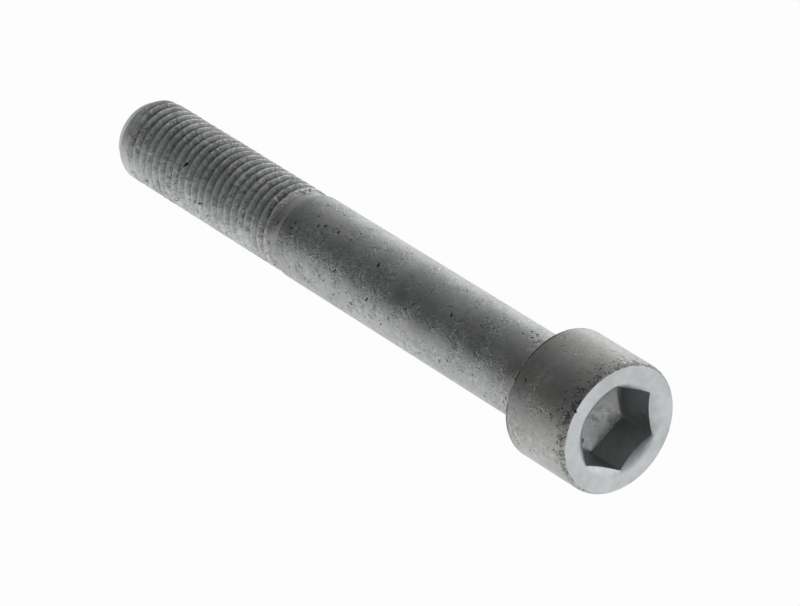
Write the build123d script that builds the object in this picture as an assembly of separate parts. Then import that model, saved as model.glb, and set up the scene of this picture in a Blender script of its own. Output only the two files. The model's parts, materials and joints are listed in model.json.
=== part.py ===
from build123d import *
import os
from math import atan2, ceil, degrees, radians, sin, sqrt, tan

# Socket head cap screw, M16 x 2 x 120, partly threaded, with a 14 mm hexagon socket.
# One piece of steel: the head and its socket are forged, the thread is rolled on a turned blank.
# It is made upright on its own axis, with the head up and the middle of the bearing face at the
# origin, and then laid down as it rests: on the rim of the head and on the first full crest.

# Driving dimensions, in millimetres and degrees

length = 120.0            # bearing face to point
shank_dia = 16.0
shank_length = 70.0       # bearing face to the shoulder, at full shank diameter

head_dia = 24.0
head_height = 15.6
head_edge_radius = 1.5    # the side of the head rolls over towards the top
head_edge_angle = 50.0    # and meets the flat top after turning by this much
bearing_edge = 0.4        # chamfer round the bearing face
underhead_cone = 0.6      # where the shank widens into the bearing face

socket_across_flats = 14.15   # a 14 mm key and its clearance
socket_depth = 8.1        # down the corners of the hexagon
socket_floor_angle = 120.0
mouth_angle = 120.0       # countersink that breaks the edges of the hexagon
mouth_flare = 0.5         # how far the countersink reaches past the corners
socket_turn = 3.0         # how far the hexagon is turned about the screw's axis

thread_dia = 16.0         # nominal
pitch = 2.0
crest_allowance = 0.075   # the crests lie this far below the nominal radius
thread_turn = 165.0       # where the groove starts, about the screw's axis
runout_turns = 0.9        # the groove rises out of the steel over this much of a turn
point_length = 2.5        # tapered point
point_drop = 1.4          # how much the point narrows, on the radius
neck_length = 2.7         # cone from the end of the thread up to the shoulder
neck_drop = 0.45          # how far the neck lies below the crests
flank_angle = 60.0        # between the two flanks of the groove
root_share = 17 / 24      # of the sharp V's height, from the nominal diameter to the root
coil_turns = 2.0          # longest stretch of the groove that is swept as one face

# Worked out from them

head_radius = head_dia / 2
shank_radius = shank_dia / 2
bearing_radius = head_radius - bearing_edge
socket_corner_radius = socket_across_flats / sqrt(3)
mouth_radius = socket_corner_radius + mouth_flare

sharp_height = pitch / 2 / tan(radians(flank_angle / 2))
root_radius = thread_dia / 2 - sharp_height * root_share
root_flat = pitch / 6
crest_radius = thread_dia / 2 - crest_allowance
neck_radius = crest_radius - neck_drop
point_radius = crest_radius - point_drop
neck_z = -shank_length - neck_length
point_z = -length

# How far the shapes that cut or join the thread reach past the steel that they shape

clear = pitch / 5         # beyond a surface that is cut
lead_in = 1.5 * pitch     # from the start of the groove to the point
runout_gap = 0.6 * pitch  # from the last full turn of the groove to the neck
spare_rod = 5 * pitch     # at each end of the rod that the thread is cut in
foot = pitch / 2          # of the shank's cone, inside the core of the thread


def turned(*outline):
    """A solid of revolution about the screw's axis, from (radius, height) points."""
    with BuildPart() as solid:
        with BuildSketch(Plane.XZ):
            with BuildLine():
                Polyline(*outline, close=True)
            make_face()
        revolve(axis=Axis.Z)
    return solid.part


def head_and_shank():
    """The head, the plain shank and the cone down to the neck, which ends inside the thread."""
    edge_height = head_edge_radius * sin(radians(head_edge_angle))
    edge_start = (head_radius, head_height - edge_height)
    with BuildPart() as solid:
        with BuildSketch(Plane.XZ):
            with BuildLine():
                edge = JernArc(edge_start, (0, 1), head_edge_radius, head_edge_angle)
                Polyline(
                    edge @ 1,
                    (0, head_height),
                    (0, neck_z - foot),
                    (neck_radius - foot, neck_z - foot),
                    (neck_radius, neck_z),
                    (shank_radius, -shank_length),
                    (shank_radius, -underhead_cone),
                    (shank_radius + underhead_cone, 0),
                    (bearing_radius, 0),
                    (head_radius, bearing_edge),
                    edge_start,
                )
            make_face()
        revolve(axis=Axis.Z)
    return solid.part


def socket():
    """The space of the hexagon socket: a hexagon with a drill-point floor and a broken mouth."""
    floor_slope = 1 / tan(radians(socket_floor_angle / 2))
    mouth_slope = 1 / tan(radians(mouth_angle / 2))
    corner_z = head_height - socket_depth
    floor_z = corner_z - socket_corner_radius * floor_slope
    top_z = head_height + clear
    hexagon = extrude(
        Plane.XY.offset(floor_z) * RegularPolygon(socket_corner_radius, 6, rotation=socket_turn),
        top_z - floor_z,
    )
    drill_radius = socket_corner_radius + clear
    drilled = turned(
        (0, floor_z),
        (drill_radius, floor_z + drill_radius * floor_slope),
        (drill_radius, top_z + clear),
        (0, top_z + clear),
    )
    mouth = turned(
        (0, head_height - mouth_radius * mouth_slope),
        (mouth_radius + clear, head_height + clear * mouth_slope),
        (0, head_height + clear * mouth_slope),
    )
    return (hexagon & drilled) + mouth


def groove():
    """The thread's groove: a V with a narrow floor, carried along a right-hand helix.

    It starts past the point. At its other end the helix opens into a cone for part of a turn,
    so that the groove rises out of the steel as it does where a thread runs out.
    """
    start_z = point_z - lead_in
    end_z = neck_z - runout_gap
    rise = crest_radius + clear - root_radius
    floor_half = root_flat / 2
    top_half = floor_half + rise * tan(radians(flank_angle / 2))
    section = Polyline(
        (root_radius, 0, start_z - floor_half),
        (root_radius + rise, 0, start_z - top_half),
        (root_radius + rise, 0, start_z + top_half),
        (root_radius, 0, start_z + floor_half),
        close=True,
    )
    coils = ceil((end_z - start_z) / (coil_turns * pitch))
    coil_height = (end_z - start_z) / coils
    helix = []
    for i in range(coils):
        coil = Helix(pitch, coil_height, root_radius, center=(0, 0, start_z + i * coil_height))
        helix.append(Rot(0, 0, 360 * i * coil_height / pitch) * coil)
    runout_height = runout_turns * pitch
    opening = Helix(
        pitch,
        runout_height,
        root_radius,
        center=(0, 0, end_z),
        cone_angle=degrees(atan2(rise, runout_height)),
    )
    helix.append(Rot(0, 0, 360 * (end_z - start_z) / pitch) * opening)
    path = Wire([curve.edge() for curve in helix])
    cutter = sweep(Face(Wire(section.edges())), path=path, is_frenet=True)
    return Rot(0, 0, thread_turn) * cutter


def threaded_end():
    """The thread, cut in a longer rod and then turned down to the point and the neck."""
    rod = turned(
        (0, point_z - spare_rod),
        (crest_radius, point_z - spare_rod),
        (crest_radius, neck_z + spare_rod),
        (0, neck_z + spare_rod),
    )
    blank = turned(
        (0, point_z),
        (point_radius, point_z),
        (crest_radius + clear, point_z + point_length + clear * point_length / point_drop),
        (crest_radius + clear, neck_z - clear - neck_drop),
        (neck_radius, neck_z),
        (neck_radius - clear, neck_z + clear),
        (0, neck_z + clear),
    )
    return (rod - groove()) & blank


def lie_down(upright):
    """Lay the screw on its side, head towards +X, on its head's rim and its first full crest."""
    rim_to_crest = bearing_edge + length - point_length
    tilt = degrees(atan2(head_radius - crest_radius, rim_to_crest))
    return Rot(0, 90 - tilt, 0) * upright


cap_screw = lie_down(head_and_shank() + threaded_end() - socket())

os.makedirs("parts", exist_ok=True)
export_step(cap_screw, "parts/cap_screw.step")
print("cap_screw", round(cap_screw.volume), "mm3,", len(cap_screw.solids()), "solid")
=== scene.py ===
# %% [markdown]
# # A socket head cap screw
#
# A cap screw is one piece of steel: a round head with a hexagon socket, a plain shank and a
# rolled thread. This one is an M16 by 120 with a dull grey coating, and it lies on its side as
# a loose screw does. It could be put together from a cylinder, a helix and a few booleans, but
# the real screw has no joints between head, shank and thread, so here it is one closed skin,
# knitted ring by ring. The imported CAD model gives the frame: its size, its place and its axis.

import json
import random
from functools import partial
from math import atan2, cos, degrees, floor, pi, radians, sin, sqrt, tan

import bmesh
import bpy
from mathutils import Matrix, Vector, kdtree, noise


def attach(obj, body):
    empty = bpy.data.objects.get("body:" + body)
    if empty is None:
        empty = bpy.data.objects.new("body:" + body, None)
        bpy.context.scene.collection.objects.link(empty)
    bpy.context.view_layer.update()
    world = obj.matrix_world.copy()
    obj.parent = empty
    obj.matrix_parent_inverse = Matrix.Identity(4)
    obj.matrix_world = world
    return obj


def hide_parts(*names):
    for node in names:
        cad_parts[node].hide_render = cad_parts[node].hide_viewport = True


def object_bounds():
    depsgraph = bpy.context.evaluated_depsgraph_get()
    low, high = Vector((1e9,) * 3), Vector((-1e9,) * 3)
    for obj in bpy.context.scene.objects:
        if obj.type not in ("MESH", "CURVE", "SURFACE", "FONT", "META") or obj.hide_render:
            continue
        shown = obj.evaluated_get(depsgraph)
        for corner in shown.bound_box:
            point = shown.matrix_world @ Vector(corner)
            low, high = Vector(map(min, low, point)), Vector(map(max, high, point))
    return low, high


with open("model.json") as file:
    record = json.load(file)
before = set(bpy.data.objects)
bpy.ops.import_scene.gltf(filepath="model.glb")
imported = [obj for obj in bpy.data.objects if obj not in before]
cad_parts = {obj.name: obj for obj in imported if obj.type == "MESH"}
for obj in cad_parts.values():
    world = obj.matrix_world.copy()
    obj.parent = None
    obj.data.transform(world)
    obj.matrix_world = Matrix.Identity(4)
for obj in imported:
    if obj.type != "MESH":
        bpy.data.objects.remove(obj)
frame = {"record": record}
mounts = {mount["name"]: mount for mount in frame["record"]["mounts"]}
cad_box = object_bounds()
print("CAD box, mm:", [[round(1000 * x, 2) for x in corner] for corner in cad_box])

# %% [markdown]
# ## The screw's own axis
#
# A screw is easiest to describe upright: Z is its axis, the head is up, and the face that
# presses on the work is at height zero. The real one lies down and slopes by two degrees,
# because its head is thicker than its thread. One matrix holds that lie. It could be typed in
# as an angle, but reading it from the bearing face's mount keeps it true to the CAD model.
#
# Angles round the axis start at the underside: 0 is the floor's side, -90 the front and 180
# the top.

# %% From upright, in millimetres, to lying down, in metres
MM = 0.001
head_way = -Vector(mounts["bearing_face"]["axis"]).normalized()
cross_way = Vector((0, 1, 0))
down_way = cross_way.cross(head_way)
lying = Matrix((down_way, cross_way, head_way)).transposed().to_4x4() @ Matrix.Scale(MM, 4)
print("the axis slopes by", round(degrees(head_way.angle(Vector((1, 0, 0)))), 2), "degrees")

# %% [markdown]
# ## Sizes
#
# These are the sizes of an M16 cap screw, in millimetres and degrees. Lengths along the axis
# are measured from the bearing face, so the thread has negative heights. The shank's radius
# comes from its mount, and the rest is written here once. The groove's turns are counted from
# a little below the point, where there is no steel any more.

# %% Sizes of the shank and the head
shank_radius = mounts["shank"]["dims"]["r_mm"]
shoulder_height = -70.0
neck_height = -72.7
point_height = -120.0

head_radius = 12.0
head_height = 15.6
head_edge_radius = 1.5
head_edge_angle = 50.0
bearing_chamfer = 0.4
fillet_radius = 0.6

socket_width = 14.15
socket_flat_radius = socket_width / 2
socket_corner_radius = socket_flat_radius / cos(radians(30))
socket_depth = 8.1
socket_turn = 3.0
countersink = 0.5
mouth_radius = socket_corner_radius + countersink
cone_slope = tan(radians(30))
print("the socket is", round(2 * socket_corner_radius, 2), "mm across its corners")

# %% Sizes of the thread
pitch = 2.0
crest_radius = 7.925
root_radius = 6.773
root_round = 0.289
flank_angle = radians(30)
neck_radius = 7.475
point_radius = 6.525
point_length = 2.5
thread_turn = 165.0
groove_start = point_height - 1.5 * pitch
groove_turns = (neck_height - 0.6 * pitch - groove_start) / pitch
runout_turns = 0.9
print("full turns of groove:", round(groove_turns, 2))

# %% [markdown]
# ## Rings and columns
#
# A turned part is a stack of rings. Every ring here has the same number of points, so that two
# neighbours can be joined by a band of quads. The number divides by six, and the first column
# stands on a corner of the hexagon, so the socket's corners come out sharp without a boolean.
# A lathe modifier (Screw) would spin an outline too, but it couldn't make the hexagon.

# %% Columns, and places on them
COLUMNS = 180
angles = [socket_turn + 360 * j / COLUMNS for j in range(COLUMNS)]
skin = bmesh.new()


def place(radius, angle, height):
    """A place on the upright screw, by its distance from the axis, its angle and its height."""
    turn = radians(angle)
    return Vector((radius * cos(turn), radius * sin(turn), height))


def point(radius, angle, height):
    """A new vertex at such a place."""
    return skin.verts.new(place(radius, angle, height))


print(COLUMNS, "columns,", round(2 * pi * shank_radius / COLUMNS, 2), "mm apart on the shank")


# %% Rings, and the bands that join them
def ring(radius, height):
    """One ring of vertices. The radius and the height may be functions of the angle."""
    radii = [radius(a) if callable(radius) else radius for a in angles]
    heights = [height(a) if callable(height) else height for a in angles]
    return [point(r, a, h) for r, a, h in zip(radii, angles, heights)]


def band(lower, upper):
    """Join two rings with quads that face outwards."""
    for j in range(COLUMNS):
        k = (j + 1) % COLUMNS
        skin.faces.new((lower[j], lower[k], upper[k], upper[j]))


def turned(start, outline):
    """Carry a ring along an outline of (radius, height) points, and return the last ring."""
    for radius, height in outline:
        following = ring(radius, height)
        band(start, following)
        start = following
    return start


print("a ring has", COLUMNS, "vertices, and a band", COLUMNS, "quads")


# %% Straight runs and arcs for an outline
def straight(first, last, step):
    """Evenly spaced outline points after the first one, about a step apart."""
    run, climb = last[0] - first[0], last[1] - first[1]
    count = max(1, round(sqrt(run**2 + climb**2) / step))
    return [(first[0] + run * i / count, first[1] + climb * i / count) for i in range(1, count + 1)]


def arc(centre, radius, start, end, steps):
    """Outline points round a centre. Angle 0 points away from the axis and 90 up the screw."""
    turns = [radians(start + (end - start) * i / steps) for i in range(1, steps + 1)]
    return [(centre[0] + radius * cos(t), centre[1] + radius * sin(t)) for t in turns]


print("a run of 3 mm in steps of 1:", straight((0, 0), (0, 3), 1))

# %% [markdown]
# ## The thread
#
# A rolled thread is one long groove with a rounded root, wound round the rod, and the crests
# are what is left between its turns. A Screw modifier can wind a profile, but the turns at the
# point and at the run-out would need repair. Here the thread is a height map instead: one
# function gives the radius at any place on the rod. It finds the nearest turn of the groove,
# and asks how far away its middle is. The point's cone and the neck then cut it down.
#
# A real thread is also worn and never quite complete. Noise sways its crests, frays them and
# takes a little off their tops, most of all at the last crests before the neck. At the point
# the groove only begins above a slanting line, and at the neck it rises out of the steel.

# %% How worn and how complete the thread is
crest_sway, sway_grain = 0.10, 0.7
crest_fray, fray_grain = 0.14, 2.4
crest_loss, loss_grain = 0.12, 1.3
other_noise = Vector((40, 0, 0))
last_crests = -77.0
thread_begins = -117.0
begins_sway = 1.2
begins_side = -70
begins_fade = 0.5
above_crest = 0.4
crest_blend = 0.07
end_blend = 0.15
print("crests sway by up to", crest_sway, "mm and lose up to", crest_loss, "mm")


# %% The groove's profile
def held(share):
    """A share that is kept between 0 and 1."""
    return min(max(share, 0), 1)


def soft_min(a, b, blend):
    """The smaller of two radii, with the corner between them rounded off."""
    share = held(0.5 + 0.5 * (b - a) / blend)
    return b + (a - b) * share - blend * share * (1 - share)


def groove_profile(away):
    """Radius of the groove at a distance along the axis from its middle: root, then flank."""
    flank_from = root_round * cos(flank_angle)
    if away < flank_from:
        return root_radius + root_round - sqrt(root_round**2 - away**2)
    return root_radius + root_round / 2 + (away - flank_from) / tan(flank_angle)


print("the groove is", round(crest_radius - root_radius, 2), "mm deep")


# %% The radius of the threaded end
def thread_radius(height, angle):
    """Radius of the threaded end at a height and an angle."""
    spot = place(crest_radius, angle, height)
    turns = (height - groove_start) / pitch
    start = (angle - thread_turn) / 360
    nearest = floor(turns - start + 0.5)
    fray = crest_fray * (1 + held((height - last_crests) / pitch))
    ragged = crest_sway * noise.noise(spot * sway_grain) + fray * noise.noise(spot * fray_grain)
    away = abs((turns - start - nearest) * pitch + ragged)
    past_full = start + nearest - groove_turns
    begins = thread_begins + begins_sway * cos(radians(angle - begins_side))
    filled = held(max(past_full / runout_turns, begins + begins_fade - height))
    rise = filled * (crest_radius + above_crest - root_radius)
    crest = crest_radius - crest_loss * (1 + noise.noise(spot * loss_grain + other_noise)) / 2
    radius = soft_min(groove_profile(away) + rise, crest, crest_blend)
    cone = point_radius + (height - point_height) * (crest_radius - point_radius) / point_length
    neck = neck_radius + (neck_height - height)
    return soft_min(soft_min(radius, cone, end_blend), neck, end_blend)


print("radius half-way along the thread, on top:", round(thread_radius(-97, 180), 2), "mm")

# %% [markdown]
# ## Rows that follow the helix
#
# If the rows of the net were level rings, every crest would be a saw edge. So the rows climb:
# each one goes up by a pitch in a turn, and the end of a row meets the start of the row one
# pitch higher. The rows are close together where the profile bends and far apart on the
# flanks. At both ends the net must meet a level ring, so a vertex that would pass the ring is
# held on it, and quads that lose a corner in this way become triangles.

# %% A vertex of a climbing row
row_offsets = [0, 0.13, 0.25, 0.78, 0.88, 1.0, 1.12, 1.22, 1.75, 1.87]
thread_low = point_height + 0.35
thread_high = neck_height
snap = 0.04
corners = {}


def thread_vertex(climb, column):
    """The vertex of a climbing row at a column, held between the two level rings."""
    height = climb + pitch * column / COLUMNS
    if height < thread_low + snap:
        height = thread_low
    elif height > thread_high - snap:
        height = thread_high
    key = (round(height, 4), column % COLUMNS)
    if key not in corners:
        angle = angles[column % COLUMNS]
        corners[key] = point(thread_radius(height, angle), angle, height)
    return corners[key]


print(len(row_offsets), "rows to a turn of the thread")

# %% Knit the thread
MOST_TURNS = 30
first_turn = groove_start + pitch * (socket_turn - thread_turn) / 360
climbs = []
for turn in range(-1, MOST_TURNS):
    climbs += [first_turn + turn * pitch + offset for offset in row_offsets]
for lower, upper in zip(climbs, climbs[1:]):
    if upper + pitch < thread_low or lower > thread_high:
        continue
    for j in range(COLUMNS):
        loop = [thread_vertex(lower, j), thread_vertex(lower, j + 1)]
        loop += [thread_vertex(upper, j + 1), thread_vertex(upper, j)]
        loop = [v for i, v in enumerate(loop) if v is not loop[i - 1]]
        if len(loop) > 2:
            skin.faces.new(loop)
low_ring = [corners[(round(thread_low, 4), j)] for j in range(COLUMNS)]
high_ring = [corners[(round(thread_high, 4), j)] for j in range(COLUMNS)]
print("thread:", len(skin.faces), "faces")

# %% [markdown]
# ## The point
#
# The end of the thread is a short cone with a flat, softly rounded end face. It continues the
# thread's lowest ring, so it is carried down from there: its bands face the other way round,
# and the last ring closes on one vertex in the middle.

# %% Close the point
end_face = point_height + 0.02
middle_radius = 0.6
outline = [
    (point_radius + 0.1, point_height + 0.18),
    (point_radius - 0.1, point_height + 0.06),
    (point_radius - 0.4, end_face),
]
outline += straight(outline[-1], (middle_radius, end_face), step=0.9)
upper = low_ring
for radius, height in outline:
    lower = ring(radius, height)
    band(lower, upper)
    upper = lower
centre = point(0, 0, end_face)
for j in range(COLUMNS):
    skin.faces.new((centre, upper[(j + 1) % COLUMNS], upper[j]))
print("point closed at", end_face, "mm")

# %% [markdown]
# ## Neck, shank and head
#
# From the end of the thread the outline goes up a straight waist and a short cone to the
# shoulder, along the plain shank, round the fillet under the head, out over the bearing face
# and up the head's side. The side rolls over before it meets the flat top. The rings stand
# further apart where nothing bends.

# %% Turn the neck and the shank
waist_top = (neck_radius + 0.04, shoulder_height - 1.3)
shoulder_foot = (neck_radius + 0.11, shoulder_height - 0.95)
shoulder_edge = (shank_radius - 0.05, shoulder_height - 0.10)
fillet_centre = (shank_radius + fillet_radius, -fillet_radius)
outline = straight((neck_radius, neck_height), waist_top, step=0.35)
outline += [shoulder_foot] + straight(shoulder_foot, shoulder_edge, step=0.3)
outline += [(shank_radius - 0.008, shoulder_height - 0.01), (shank_radius, shoulder_height + 0.12)]
outline += straight(outline[-1], (shank_radius, -fillet_radius), step=0.62)
outline += arc(fillet_centre, fillet_radius, 180, 90, steps=5)
shank_ring = turned(high_ring, outline)
print("neck and shank:", len(outline), "rings")

# %% Turn the head
bearing_edge = head_radius - bearing_chamfer
roll_radius = head_radius - head_edge_radius
roll_height = head_height - head_edge_radius * sin(radians(head_edge_angle))
outline = straight(outline[-1], (bearing_edge - 0.08, 0), step=0.8)
outline += [(bearing_edge + 0.03, 0.05), (head_radius - 0.05, bearing_chamfer - 0.03)]
outline += [(head_radius, bearing_chamfer + 0.12)]
outline += straight(outline[-1], (head_radius, roll_height), step=0.5)
outline += arc((roll_radius, roll_height), head_edge_radius, 0, head_edge_angle, steps=6)
outline += straight(outline[-1], (mouth_radius, head_height), step=0.5)
mouth_ring = turned(shank_ring, outline)
print("head:", len(outline), "rings")

# %% [markdown]
# ## The hexagon socket
#
# The socket is forged by a six-sided punch. A countersink first breaks its edge, and where that
# cone cuts the six flat walls it leaves six arcs, the mark of a real socket. The floor is a
# shallow cone too, so it meets each wall in an arc. Because the columns stand on the corners,
# one formula gives the distance to a wall at any angle, and each ring follows it.

# %% The socket's walls, lip and floor
corner_round = 0.04


def wall(angle):
    """Distance from the axis to the socket's wall."""
    from_middle = (angle - socket_turn) % 60 - 30
    reach = socket_flat_radius / cos(radians(from_middle))
    return min(reach, socket_corner_radius - corner_round)


def lip(angle):
    """Height of the mouth's edge, where the countersink meets the wall."""
    return head_height - (mouth_radius - wall(angle)) * cone_slope


def floor_at(radius):
    """Height of the conical floor at a distance from the axis."""
    return head_height - socket_depth - (socket_corner_radius - radius) * cone_slope


print("the floor's middle is", round(head_height - floor_at(0), 2), "mm below the face")

# %% Sink the socket
WALL_ROWS = 14
FLOOR_ROWS = 14
lip_bevel = 0.06
wall_starts = 0.07
floor_fillet = 0.25
blunt_middle = 0.1
lower = ring(lambda a: wall(a) + lip_bevel, lambda a: lip(a) + lip_bevel / 2)
band(mouth_ring, lower)
for row in range(WALL_ROWS + 1):
    share = row / WALL_ROWS
    upper = ring(
        wall,
        lambda a: (lip(a) - wall_starts) * (1 - share) + (floor_at(wall(a)) + floor_fillet) * share,
    )
    band(lower, upper)
    lower = upper
for row in range(FLOOR_ROWS):
    share = 1 - row / FLOOR_ROWS
    upper = ring(
        lambda a: (wall(a) - floor_fillet) * share,
        lambda a: floor_at((wall(a) - floor_fillet) * share),
    )
    band(lower, upper)
    lower = upper
centre = point(0, 0, floor_at(0) + blunt_middle)
for j in range(COLUMNS):
    skin.faces.new((lower[j], lower[(j + 1) % COLUMNS], centre))
open_edges = sum(not edge.is_manifold for edge in skin.edges)
print("faces:", len(skin.faces), " open edges:", open_edges)

# %% [markdown]
# ## A surface that isn't true
#
# A coated forging is never quite round: its skin rises and falls by a few hundredths of a
# millimetre, and that is what breaks up its reflections. A Displace modifier could do this with
# a texture. Moving the vertices here keeps it in the mesh, and lets every one of them move
# inwards only, so that the screw doesn't grow.

# %% Let the skin rise and fall
swell = 0.03
wide_waves, small_waves = 0.33, 0.9
small_share = 0.6
most_waves = 1 + small_share
skin.normal_update()
moves = []
for vertex in skin.verts:
    wide = noise.noise(vertex.co * wide_waves)
    rising = wide + small_share * noise.noise(vertex.co * small_waves)
    moves.append(vertex.normal * swell * (most_waves + rising) / (2 * most_waves))
for vertex, move in zip(skin.verts, moves):
    vertex.co -= move
print("skin pushed in by up to", round(1000 * max(move.length for move in moves)), "micrometres")

# %% [markdown]
# ## Nicks
#
# Screws are poured from bin to bin, and they dent each other: short leaning nicks, mostly less
# than a millimetre long, and from a few hundredths to three tenths of a millimetre deep. The
# large ones have their own places in a list, and small ones are scattered with a fixed seed.
# A boolean for each could leave slivers in the skin, so the vertices are pushed in instead. The
# net is too coarse for that, so it is first divided near each nick, and only there. Each vertex
# also keeps a number that says how far inside a nick it lies, and the coating is coloured by it.

# %% Where the nicks are
named_nicks = [
    # height, angle, length, width, lean, depth
    (-57.7, -157, 1.0, 0.42, 0, 0.16),
    (-53.2, -114, 0.95, 0.36, -18, 0.16),
    (-44.8, -148, 1.1, 0.6, 15, 0.18),
    (-67.4, -131, 0.95, 0.36, -30, 0.14),
    (-43.5, -104, 1.0, 0.4, -30, 0.10),
    (-23.5, -143, 1.0, 0.5, 10, 0.16),
    (-23.0, -81, 0.8, 0.34, 30, 0.12),
    (-20.7, -90, 0.8, 0.34, 10, 0.12),
    (-48.0, -84, 1.1, 0.3, 75, 0.12),
    (-99.4, -127, 1.5, 0.42, -12, 0.3),
    (-76.4, 170, 0.9, 0.5, 60, 0.3),
    (-87.8, -105, 0.7, 0.4, 0, 0.25),
    (-93.3, -89, 0.34, 0.34, 0, 0.15),
    (-62.4, -150, 0.8, 0.4, -20, 0.12),
    (-61.1, -155, 0.9, 0.5, -30, 0.12),
    (-8.4, 176, 0.8, 0.45, 10, 0.08),
    (-7.0, 175, 0.7, 0.4, 0, 0.08),
    (-8.8, -173, 0.6, 0.4, 10, 0.08),
    (2.8, -128, 0.9, 0.34, 20, 0.12),
    (15.45, -127, 0.9, 0.5, 30, 0.15),
]
scattered_count = 90
dice = random.Random(16)
scattered = []
for _ in range(scattered_count):
    height = dice.choice([dice.uniform(-68, -1.5), dice.uniform(-68, -1.5), dice.uniform(1, 13)])
    length = dice.uniform(0.3, 0.7)
    scattered.append((
        height,
        dice.uniform(-180, 180),
        length,
        length * dice.uniform(0.35, 0.6),
        dice.choice([dice.uniform(-60, -35), dice.uniform(-20, 20), dice.uniform(75, 95)]),
        length * dice.uniform(0.08, 0.16),
    ))
nicks = named_nicks + scattered
print(len(named_nicks), "named nicks and", len(scattered), "scattered ones")


# %% Divide the net near the nicks
def around(height):
    """Radius of the outside at a height."""
    if height > 0:
        return head_radius
    return shank_radius if height > shoulder_height else crest_radius


def finder_of(places):
    """A search tree over a list of places."""
    finder = kdtree.KDTree(len(places))
    for i, spot in enumerate(places):
        finder.insert(spot, i)
    finder.balance()
    return finder


margin = 0.35
faces = list(skin.faces)
finder = finder_of([face.calc_center_median() for face in faces])
chosen = set()
for height, angle, length, *_ in nicks:
    middle = place(around(height), angle, height)
    chosen.update(i for _, i, _ in finder.find_range(middle, length / 2 + margin))
edges = {edge for i in chosen for edge in faces[i].edges}
bmesh.ops.subdivide_edges(skin, edges=list(edges), cuts=3, use_grid_fill=True)
print("divided", len(chosen), "faces near the nicks; now", len(skin.faces), "faces")

# %% Dent the net
dent = skin.verts.layers.float.new("dent")
vertices = list(skin.verts)
finder = finder_of([vertex.co for vertex in vertices])
for height, angle, length, width, lean, depth in nicks:
    middle = place(around(height), angle, height)
    outwards = Vector((middle.x, middle.y, 0)).normalized()
    sideways = Vector((-outwards.y, outwards.x, 0))
    along = sideways * cos(radians(lean)) + Vector((0, 0, 1)) * sin(radians(lean))
    across = outwards.cross(along)
    for spot, i, _ in finder.find_range(middle, length):
        away = spot - middle
        inside = 1 - (away.dot(along) * 2 / length) ** 2 - (away.dot(across) * 2 / width) ** 2
        if inside > 0:
            vertices[i].co -= outwards * depth * inside * (2 - inside)
            vertices[i][dent] = max(vertices[i][dent], inside)
print(sum(vertex[dent] > 0 for vertex in vertices), "vertices lie in nicks")

# %% [markdown]
# ## Make the piece
#
# The net becomes one Blender mesh, laid down by the matrix. Each vertex takes its upright place
# along, because the coating is described there. The piece takes the CAD screw's place and rides
# on the only body; the coating is given to it further down. It is shaded smooth, except where two
# faces meet at a steep angle, as they do in the socket's corners.

# %% Make the piece
upright = skin.verts.layers.float_vector.new("upright")
for vertex in skin.verts:
    vertex[upright] = vertex.co
mesh = bpy.data.meshes.new("cap_screw_skin")
skin.transform(lying)
skin.to_mesh(mesh)
skin.free()
mesh.shade_smooth()
mesh.set_sharp_from_angle(angle=radians(40))
screw = bpy.data.objects.new("cap_screw_skin", mesh)
bpy.context.scene.collection.objects.link(screw)
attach(screw, "root")
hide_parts("cap_screw")
triangles = sum(len(polygon.vertices) - 2 for polygon in mesh.polygons)
print("screw:", len(mesh.vertices), "vertices,", triangles, "triangles")

# %% [markdown]
# ## The coating
#
# Screws like this one are dipped in a paint full of zinc flakes and baked. The dry coating is a
# dull grey metal: it mirrors the room as a broad blur, and its clear binder adds a second,
# weaker mirror that takes over where the surface is seen at a slant. That is a metallic
# Principled shader with a rough coat on top.
#
# A painted texture could carry the marks, but it would need a seam and an unwrapped net. Noise
# in the screw's own upright millimetres needs neither, and any size can be read off the script.
# The helpers below make the node tree readable. `add` makes one node, the others return what
# their nodes put out, and all of them build in the tree that is called `tree` at the time.

# %% Helpers that add nodes
coating = bpy.data.materials.new("coating")
coating.use_nodes = True
tree = coating.node_tree
shader = tree.nodes["Principled BSDF"]


def add(kind, inputs=None, **settings):
    """Add a node to the present tree, set its options, and fill or wire its inputs."""
    made = tree.nodes.new("ShaderNode" + kind)
    for name, value in settings.items():
        setattr(made, name, value)
    for name, value in (inputs or {}).items():
        if isinstance(value, bpy.types.NodeSocket):
            tree.links.new(value, made.inputs[name])
        else:
            made.inputs[name].default_value = value
    return made


print("coating: starts with", len(tree.nodes), "nodes")


# %% Helpers that work on numbers
def reckon(operation, first, *others):
    """Work on one number, or join several, two at a time."""
    if not others:
        return add("Math", {0: first}, operation=operation).outputs[0]
    for other in others:
        first = add("Math", {0: first, 1: other}, operation=operation).outputs[0]
    return first


plus = partial(reckon, "ADD")
minus = partial(reckon, "SUBTRACT")
times = partial(reckon, "MULTIPLY")
most = partial(reckon, "MAXIMUM")


def between(value, low, high, bottom=0.0, top=1.0):
    """A number that goes smoothly from bottom to top while the value goes from low to high."""
    sockets = {"Value": value, "From Min": low, "From Max": high, "To Min": bottom, "To Max": top}
    return add("MapRange", sockets, interpolation_type="SMOOTHSTEP").outputs["Result"]


print("coating: numbers can be added, multiplied, compared and blended")

# %% Measures on the screw
upright_mm = add("Attribute", attribute_name="upright").outputs["Vector"]
in_nick = add("Attribute", attribute_name="dent").outputs["Fac"]
axes = add("SeparateXYZ", {0: upright_mm}).outputs
height_mm = axes["Z"]
squares = plus(times(axes["X"], axes["X"]), times(axes["Y"], axes["Y"]))
radius_mm = reckon("SQRT", squares)


def facing(angle):
    """How squarely a place on the screw faces an angle round the axis, from -1 to 1."""
    turn = radians(angle)
    along = plus(times(axes["X"], cos(turn)), times(axes["Y"], sin(turn)))
    return reckon("DIVIDE", along, radius_mm)


def grain(scale, detail=2.0):
    """Noise at a scale in blotches per millimetre."""
    return add("TexNoise", {"Vector": upright_mm, "Scale": scale, "Detail": detail}).outputs["Fac"]


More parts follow.
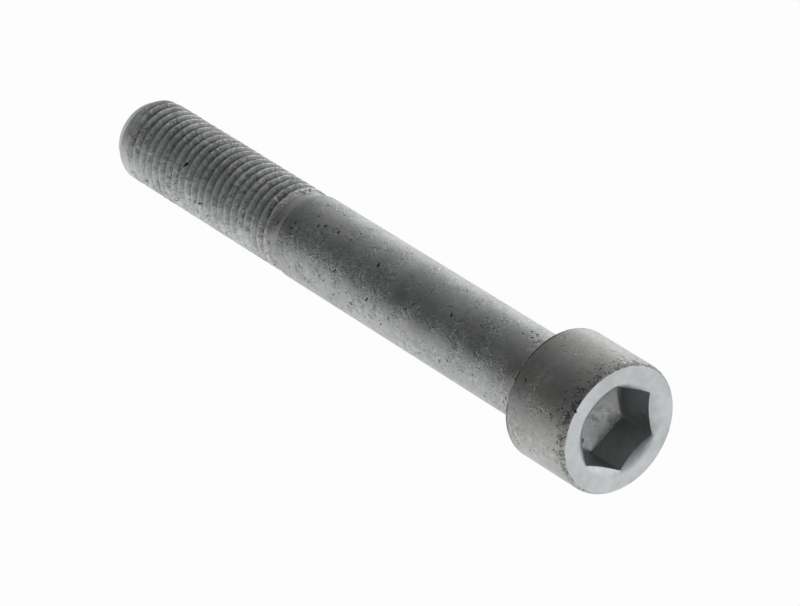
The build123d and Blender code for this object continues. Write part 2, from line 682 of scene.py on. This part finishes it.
print("coating: height, radius, side and grain can be measured")


# %% Greys, and two ways to lay a colour on
def shade(level):
    """A grey."""
    return (level, level, level, 1)


def level_colour(level):
    """A grey from a number that varies."""
    return add("CombineColor", {0: level, 1: level, 2: level}).outputs[0]


def mixed(way, colour, share, tint):
    """Two colours brought together by a share, in one of the ways of the Mix node."""
    made = add("Mix", {0: share, 6: colour, 7: tint}, data_type="RGBA", blend_type=way)
    return made.outputs[2]


painted = partial(mixed, "MIX")
stained = partial(mixed, "MULTIPLY")
print("coating: paint covers what is below it, and stain lets it through")

# %% [markdown]
# ## Where each look belongs
#
# One material covers the screw, so it has to know where it is. Height and radius are enough:
# they tell the face from the socket, the head's side from the shank and the thread from the
# neck. Painting vertex groups by hand would do the same, but it would have to be done again
# after each change of shape.

# %% The face, the socket and the outside
face_radius = 11.48
face_blend = 0.04
inside_mouth = most(minus(mouth_radius, radius_mm), 0.0)
above_lip = plus(height_mm, times(inside_mouth, cone_slope))
edge_sway = times(minus(grain(0.8, 3.0), 0.5), 0.3)
on_face = times(
    between(above_lip, head_height - 0.2, head_height - 0.08),
    between(plus(radius_mm, edge_sway), face_radius + face_blend, face_radius - face_blend),
)
below_mouth = times(between(radius_mm, 8.35, 8.15), between(height_mm, 3.0, 4.0))
in_socket = times(below_mouth, minus(1.0, on_face))
floor_edge = head_height - socket_depth
socket_floor = times(in_socket, between(height_mm, floor_edge + 0.12, floor_edge - 0.04))
outside = minus(1.0, most(on_face, in_socket))
print("coating: the socket's floor starts at", round(floor_edge, 2), "mm")

# %% The head's side, the neck, the thread and its point
on_head_side = times(outside, between(height_mm, -1.0, 1.0))
in_thread = between(height_mm, neck_height + 0.4, neck_height - 0.8)
below_shoulder = between(height_mm, shoulder_height - 0.1, shoulder_height - 0.3)
on_neck = minus(below_shoulder, in_thread)
lowest_start, highest_start = thread_begins - begins_sway, thread_begins + begins_sway
tip_end = between(facing(begins_side), -1.0, 1.0, lowest_start, highest_start)
on_tip = between(minus(height_mm, tip_end), begins_fade, -begins_fade)
print("coating: the groove starts between", lowest_start, "and", highest_start, "mm")

# %% Rough patches, where the coating is rubbed
front_side = between(facing(-85), 0.45, 0.95)
patchy = plus(grain(0.25, 3.0), times(front_side, 0.06))
patchy = minus(patchy, times(on_head_side, 0.07))
patchy = minus(patchy, times(on_tip, 0.2))
rough_patch = times(between(patchy, 0.42, 0.60), outside)
print("coating: rubbed most at the front, and least on the head and at the point")

# %% [markdown]
# ## Rubs and specks
#
# Under the dirt lie short rubs from other screws, dark and light. Most lean across the shank,
# because a rolling screw is rubbed while it turns, and they come in clusters. Each is a dot in a
# stretched Voronoi cell, and only a share of the cells has one. To make them lean, the whole
# pattern is twisted round the axis as it climbs, which leaves no seam, and noise bends them.

# %% Specks and dashes
twist = 0.104
turning = {"Vector": upright_mm, "Angle": times(height_mm, twist)}
turned_mm = add("VectorRotate", turning, rotation_type="Z_AXIS").outputs[0]
wobble = add("TexNoise", {"Vector": upright_mm, "Scale": 1.1, "Detail": 2.0}).outputs["Color"]
wobble = add("VectorMath", {0: wobble, 1: (0.5, 0.5, 0.5)}, operation="SUBTRACT").outputs[0]


def dashes(mm, across, along, share, size, bend):
    """A mask of short bent dashes: cell sizes in mm, share of cells used, size in cells."""
    bending = {0: wobble, 1: (bend, bend, bend), 2: mm}
    bent = add("VectorMath", bending, operation="MULTIPLY_ADD").outputs[0]
    per_mm = (1 / across, 1 / across, 1 / along)
    cells = add("Mapping", {"Vector": bent, "Scale": per_mm}).outputs[0]
    spots = add("TexVoronoi", {"Vector": cells, "Scale": 1.0, "Randomness": 1.0}).outputs
    chance = add("SeparateColor", {0: spots["Color"]}).outputs
    used = reckon("LESS_THAN", chance[0], share)
    strength = plus(times(chance[1], 0.7), 0.3)
    return times(used, strength, between(spots["Distance"], size, size * 0.4))


leaning = dashes(turned_mm, across=0.85, along=2.0, share=0.5, size=0.40, bend=2.2)
lengthwise = dashes(upright_mm, across=0.75, along=1.4, share=0.4, size=0.40, bend=2.6)
lone = dashes(turned_mm, across=0.8, along=1.8, share=0.08, size=0.34, bend=1.0)
light = dashes(turned_mm, across=0.75, along=1.5, share=0.45, size=0.40, bend=3.0)
light_dashes = times(light, rough_patch)
print("dashes lean by", round(degrees(atan2(twist * shank_radius, 1))), "degrees from the axis")

# %% Fine scratches, and all dark marks together
rubbed = most(times(leaning, rough_patch), times(lengthwise, rough_patch))
off_line = reckon("ABSOLUTE", minus(grain(0.8, 2.0), 0.45))
scratch = times(between(off_line, 0.035, 0.01), between(grain(1.6, 2.0), 0.48, 0.58))
scratch = times(scratch, rough_patch, 0.7)
dark_marks = most(rubbed, times(lone, outside), scratch)
print("coating: dark marks are leaning, lengthwise and lone dashes, and scratches")

# %% [markdown]
# ## Dirt at the rim
#
# The side of the head is dirty near its rim: dense dark specks that thin out away from the edge
# and reach furthest on one side. The specks are noise cut off at a level, and the level sinks
# towards the rim, so that more of them come through there. On the same side the rim itself has
# a broken dark line. At the head's other end, a fine line of dirt lies just above the bearing
# face, and the chamfer below it has a painted highlight.

# %% Dirt at the head's rim
reach = between(facing(-172), -0.6, 0.7, head_height - 1.2, head_height - 5.0)
to_rim = {"Value": height_mm, "From Min": reach, "From Max": head_height - 0.3}
near_rim = add("MapRange", to_rim).outputs["Result"]
near_rim = times(outside, between(radius_mm, 10.9, 11.2), near_rim)
speckle = plus(times(grain(2.6, 3.0), 0.55), times(grain(0.9, 2.0), 0.45))
rim_specks = between(plus(speckle, times(near_rim, 0.07)), 0.575, 0.625)
rim_specks = times(rim_specks, between(near_rim, 0.0, 0.15))
at_rim = between(height_mm, head_height - 0.65, head_height - 0.4)
rim_line = times(outside, at_rim, between(facing(-205), 0.3, 0.8))
rim_line = times(rim_line, between(grain(1.2, 3.0), 0.42, 0.52))
rim_specks = most(rim_specks, rim_line)
print("rim dirt: specks and the broken line")

# %% The edge under the head
above_edge = times(between(height_mm, 0.95, 0.75), between(height_mm, 0.35, 0.5))
under_edge = times(on_head_side, above_edge, between(grain(0.35, 4.0), 0.38, 0.56))
# painted highlight: the chamfer at the foot of the head's side is made pale
painted_edge_highlight = times(outside, between(radius_mm, 11.5, 11.7), between(height_mm, 0.5, 0.35))
print("under the head: a dark line, and a pale edge below it")

# %% [markdown]
# ## The ground colour
#
# The grey isn't even. Wide clouds come from uneven dipping and a fine mottle from the flakes,
# strongest where the coating is rubbed. A few patches are tinged tan or blue-green by age, and
# the head is a little warmer than the shank. Just past the shoulder the shank has painted shade.

# %% Clouds and mottle
zinc_grey = (0.455, 0.466, 0.472, 1)
clouds = between(grain(0.13, 4.0), 0.3, 0.7, 0.86, 1.12)
flakes = {"Vector": upright_mm, "Scale": 0.85, "Detail": 2.5, "Distortion": 1.5}
mottle = minus(add("TexNoise", flakes).outputs["Fac"], 0.5)
gain = between(rough_patch, 0.0, 1.0, 0.4, 1.3)
gain = most(gain, minus(in_thread, on_tip))
level = times(clouds, plus(times(mottle, gain), 1.0))
colour = stained(level_colour(level), 1.0, zinc_grey)
print("coating's grey:", zinc_grey[:3])

# %% Tinges of age, painted shade past the shoulder, and the edges
tan_spots = times(between(grain(0.33, 3.0), 0.54, 0.64), between(grain(1.3, 3.0), 0.40, 0.6))
teal_spots = times(between(grain(0.3, 2.0), 0.46, 0.36), between(grain(1.1, 3.0), 0.40, 0.6))
# painted shade: the shank is darkened for its first ten millimetres past the shoulder
painted_shade_past_shoulder = times(
    between(height_mm, shoulder_height - 0.1, shoulder_height),
    between(height_mm, shoulder_height + 10.0, shoulder_height + 1.0),
)
under_head = times(between(height_mm, -9.0, -2.0), between(height_mm, 0.3, 0.0))
tinges = [
    (times(tan_spots, outside), (1.0, 0.985, 0.90, 1)),
    (times(teal_spots, outside), (0.92, 1.0, 0.98, 1)),
    (on_head_side, (1.0, 0.98, 0.945, 1)),
    # painted shade past the shoulder
    (painted_shade_past_shoulder, shade(0.82)),
    (on_neck, (1.02, 1.02, 0.97, 1)),
    (under_head, (1.0, 0.975, 0.93, 1)),
    (on_tip, shade(1.15)),
    (under_edge, shade(0.3)),
]
for mask, tinge in tinges:
    colour = stained(colour, mask, tinge)
# the painted highlight on the chamfer under the head
colour = painted(colour, times(painted_edge_highlight, 0.6), (0.8, 0.79, 0.75, 1))
print("coating:", len(tinges), "tinges")

# %% [markdown]
# ## Thread, face and socket
#
# The crests are rubbed pale and broken in places, the last one before the neck most of all. The
# roots hold dirt and painted shade, darkest on the top side, and the thread has painted light at
# the front and painted shade on top. That painted light is kept away from the axis, because an
# angle round the axis means nothing there and would show as a wedge on the end face. The head's
# face was turned smooth before coating and is paler than the rest. In the socket the lower side
# of the floor is made pale, partly for coating that ran down while it was wet and lies thick
# there, and partly as painted light where the walls shade it; a few dark specks lie in it. Each
# is a colour laid over the ground with its own mask, and the dark marks and the nicks come last.

# %% Colour of the thread
crest_from = 7.74
# painted light and shade: the thread is made lighter at the front and darker on top
thread_painted_light = between(facing(-75), -0.4, 0.7, 0.75, 1.47)
painted_light_on_thread = times(in_thread, between(radius_mm, 5.4, 6.5))
colour = stained(colour, painted_light_on_thread, level_colour(thread_painted_light))
# the roots are darkened for dirt and as painted shade, most on the top side
root_dirt_and_painted_shade = between(facing(-75), -0.2, 0.8, 0.32, 0.85)
in_root = times(minus(in_thread, on_tip), between(radius_mm, 7.72, 7.0))
colour = stained(colour, in_root, level_colour(root_dirt_and_painted_shade))
worn_crest = times(in_thread, between(radius_mm, crest_from, 7.82))
worn_crest = times(worn_crest, between(grain(1.6, 3.0), 0.42, 0.52), 0.8)
colour = painted(colour, worn_crest, (0.75, 0.76, 0.75, 1))
last_crest = times(in_thread, between(height_mm, last_crests + 1.0, last_crests + 2.0))
last_crest = times(last_crest, between(radius_mm, crest_from, 7.80))
last_crest = times(last_crest, between(grain(1.0, 3.0), 0.44, 0.54), 0.7)
colour = painted(colour, last_crest, (0.90, 0.89, 0.86, 1))
print("thread: crests are pale above a radius of", crest_from, "mm")

# %% Colour of the face and the socket
colour = painted(colour, on_face, (0.58, 0.61, 0.62, 1))
face_level = between(grain(0.35, 5.0), 0.3, 0.7, 0.90, 1.08)
colour = stained(colour, on_face, level_colour(face_level))
# pooled coating and painted light: the lower side of the socket's floor is made paler
pooled_coat_and_painted_light = plus(facing(-10), times(minus(grain(0.9, 4.0), 0.5), 1.6))
pooled_coat_and_light_level = between(pooled_coat_and_painted_light, 0.2, 0.8, 1.05, 2.2)
colour = stained(colour, socket_floor, level_colour(pooled_coat_and_light_level))
colour = stained(colour, in_socket, (0.9, 0.89, 0.89, 1))
floor_specks = times(socket_floor, between(grain(0.9, 2.0), 0.68, 0.71))
colour = painted(colour, times(floor_specks, 0.85), shade(0.06))
print("face and socket coloured")

# %% The rubs, the dirt and the nicks
colour = painted(colour, times(light_dashes, 0.6), (0.70, 0.72, 0.71, 1))
colour = painted(colour, times(rim_specks, 0.75), shade(0.09))
colour = painted(colour, times(dark_marks, 0.72), shade(0.07))
colour = painted(colour, between(in_nick, 0.02, 0.5), shade(0.06))
tree.links.new(colour, shader.inputs["Base Color"])
print("coating's colour done")

# %% [markdown]
# ## Gloss and relief
#
# The marks are a little duller than the coating round them, and the thread is duller than the
# shank because it is never rubbed smooth. The relief here is only a few hundredths of a
# millimetre, the grain of the coating; everything deeper is in the mesh. The coat's own values
# are plain numbers, so that they go along when the model is exported.

# %% The coating's gloss and relief
rough = between(grain(0.8, 3.0), 0.3, 0.7, 0.38, 0.47)
rough = most(rough, times(dark_marks, 0.8), times(in_thread, 0.62))
tree.links.new(rough, shader.inputs["Roughness"])
raised = plus(times(mottle, gain), times(light_dashes, 0.6))
sunk = plus(times(dark_marks, 0.5), times(rim_specks, 0.2))
bump = add("Bump", {"Height": minus(raised, sunk), "Strength": 0.8, "Distance": 0.00014})
tree.links.new(bump.outputs[0], shader.inputs["Normal"])
shader.inputs["Metallic"].default_value = 0.9
shader.inputs["Coat Weight"].default_value = 0.5
shader.inputs["Coat Roughness"].default_value = 0.35
shader.inputs["Coat IOR"].default_value = 1.5
mesh.materials.append(coating)
print("coating:", len(tree.nodes), "nodes")

# %% [markdown]
# ## Floor
#
# The screw lies on plain white paper. White paper under a soft light comes out a light grey, so
# the camera is shown an almost pure white instead, with enough of the real paper left in it to
# carry the shadow. What the coating mirrors is also a floor near white, because that is what
# lights the underside, and it fades towards the front, where less light falls.

# %% Floor
floor_size = 3.0
floor_mesh = bpy.data.meshes.new("floor")
half = floor_size / 2
table = cad_box[0].z
floor_mesh.from_pydata(
    [(-half, -half, table), (half, -half, table), (half, half, table), (-half, half, table)],
    [],
    [(0, 1, 2, 3)],
)
ground = bpy.data.objects.new("floor", floor_mesh)
bpy.context.scene.collection.objects.link(ground)
print("floor at", round(1000 * table, 2), "mm")

# %% White paper
white_share, dim_share = 0.97, 0.45
white_from, dim_from = -0.008, -0.06
paper = bpy.data.materials.new("white_paper")
paper.use_nodes = True
tree = paper.node_tree
sheet = tree.nodes["Principled BSDF"]
sheet.inputs["Base Color"].default_value = (0.85, 0.85, 0.85, 1)
sheet.inputs["Roughness"].default_value = 0.9
glow = add("Emission", {"Strength": 1.0}).outputs[0]
ray = add("LightPath").outputs
where = add("NewGeometry").outputs["Position"]
backwards = add("SeparateXYZ", {0: where}).outputs["Y"]
fading = between(backwards, dim_from, white_from, dim_share, white_share)
mirrored = times(ray["Is Glossy Ray"], fading)
direct = times(ray["Is Camera Ray"], white_share)
shown = add("MixShader", {0: most(mirrored, direct), 1: sheet.outputs[0], 2: glow}).outputs[0]
tree.links.new(shown, tree.nodes["Material Output"].inputs["Surface"])
floor_mesh.materials.append(paper)
print("paper:", len(tree.nodes), "nodes")

# %% [markdown]
# ## Light
#
# A coated cylinder shows its room: a bright wall behind the screw gives the broad sheen along
# its upper edge, and the dim room round the camera gives the dark band along the middle. Area
# lamps could do this, but they would mirror as separate patches. A world that only depends on
# the direction gives one smooth step from back to front.

# %% A room that is bright behind the screw and dim in front
world = bpy.data.worlds.new("studio")
bpy.context.scene.world = world
world.use_nodes = True
tree = world.node_tree
back_way = Vector((0.05, 1.0, 0.0)).normalized()
direction = add("TexCoord").outputs["Generated"]
towards = add("VectorMath", {0: direction, 1: back_way}, operation="DOT_PRODUCT").outputs["Value"]
from_front = add("Math", {0: towards, 1: 0.5, 2: 0.5}, operation="MULTIPLY_ADD").outputs[0]
ramp = add("ValToRGB", {0: from_front})
stops = [
    # how far towards the back, from -1 to 1, and how bright
    (-0.8, 0.12),
    (-0.5, 0.11),
    (-0.22, 0.155),
    (0.04, 0.26),
    (0.28, 0.37),
    (0.49, 0.55),
    (0.62, 0.85),
    (0.72, 1.5),
]
while len(ramp.color_ramp.elements) < len(stops):
    ramp.color_ramp.elements.new(0.5)
for element, (way_back, brightness) in zip(ramp.color_ramp.elements, stops):
    element.position = (way_back + 1) / 2
    element.color = shade(brightness)
sky = tree.nodes["Background"]
tree.links.new(ramp.outputs[0], sky.inputs["Color"])
sky.inputs["Strength"].default_value = 1.0
print("room:", stops[0][1], "in front and", stops[-1][1], "at the back")

# %% [markdown]
# ## Camera
#
# A long lens from a metre away, so that the two ends are drawn almost to the same scale. It
# looks down on the screw from the head's end and from the front. Its direction is written as a
# plain vector: `to_track_quat` turns the camera that way, which needs no constraint and no
# empty to aim at.

# %% Camera
aim = Vector((-0.03972, -0.00347, -0.00011))
look = Vector((-0.68238, 0.51966, -0.51411)).normalized()
distance = 0.982
camera_data = bpy.data.cameras.new("camera")
camera_data.lens = 257.3
camera_data.clip_end = 10
camera = bpy.data.objects.new("camera", camera_data)
camera.location = aim - look * distance
camera.rotation_euler = look.to_track_quat("-Z", "Y").to_euler()
bpy.context.scene.collection.objects.link(camera)
bpy.context.scene.camera = camera
bpy.context.scene.view_settings.view_transform = "Standard"
print("camera at", [round(x, 3) for x in camera.location], "m")
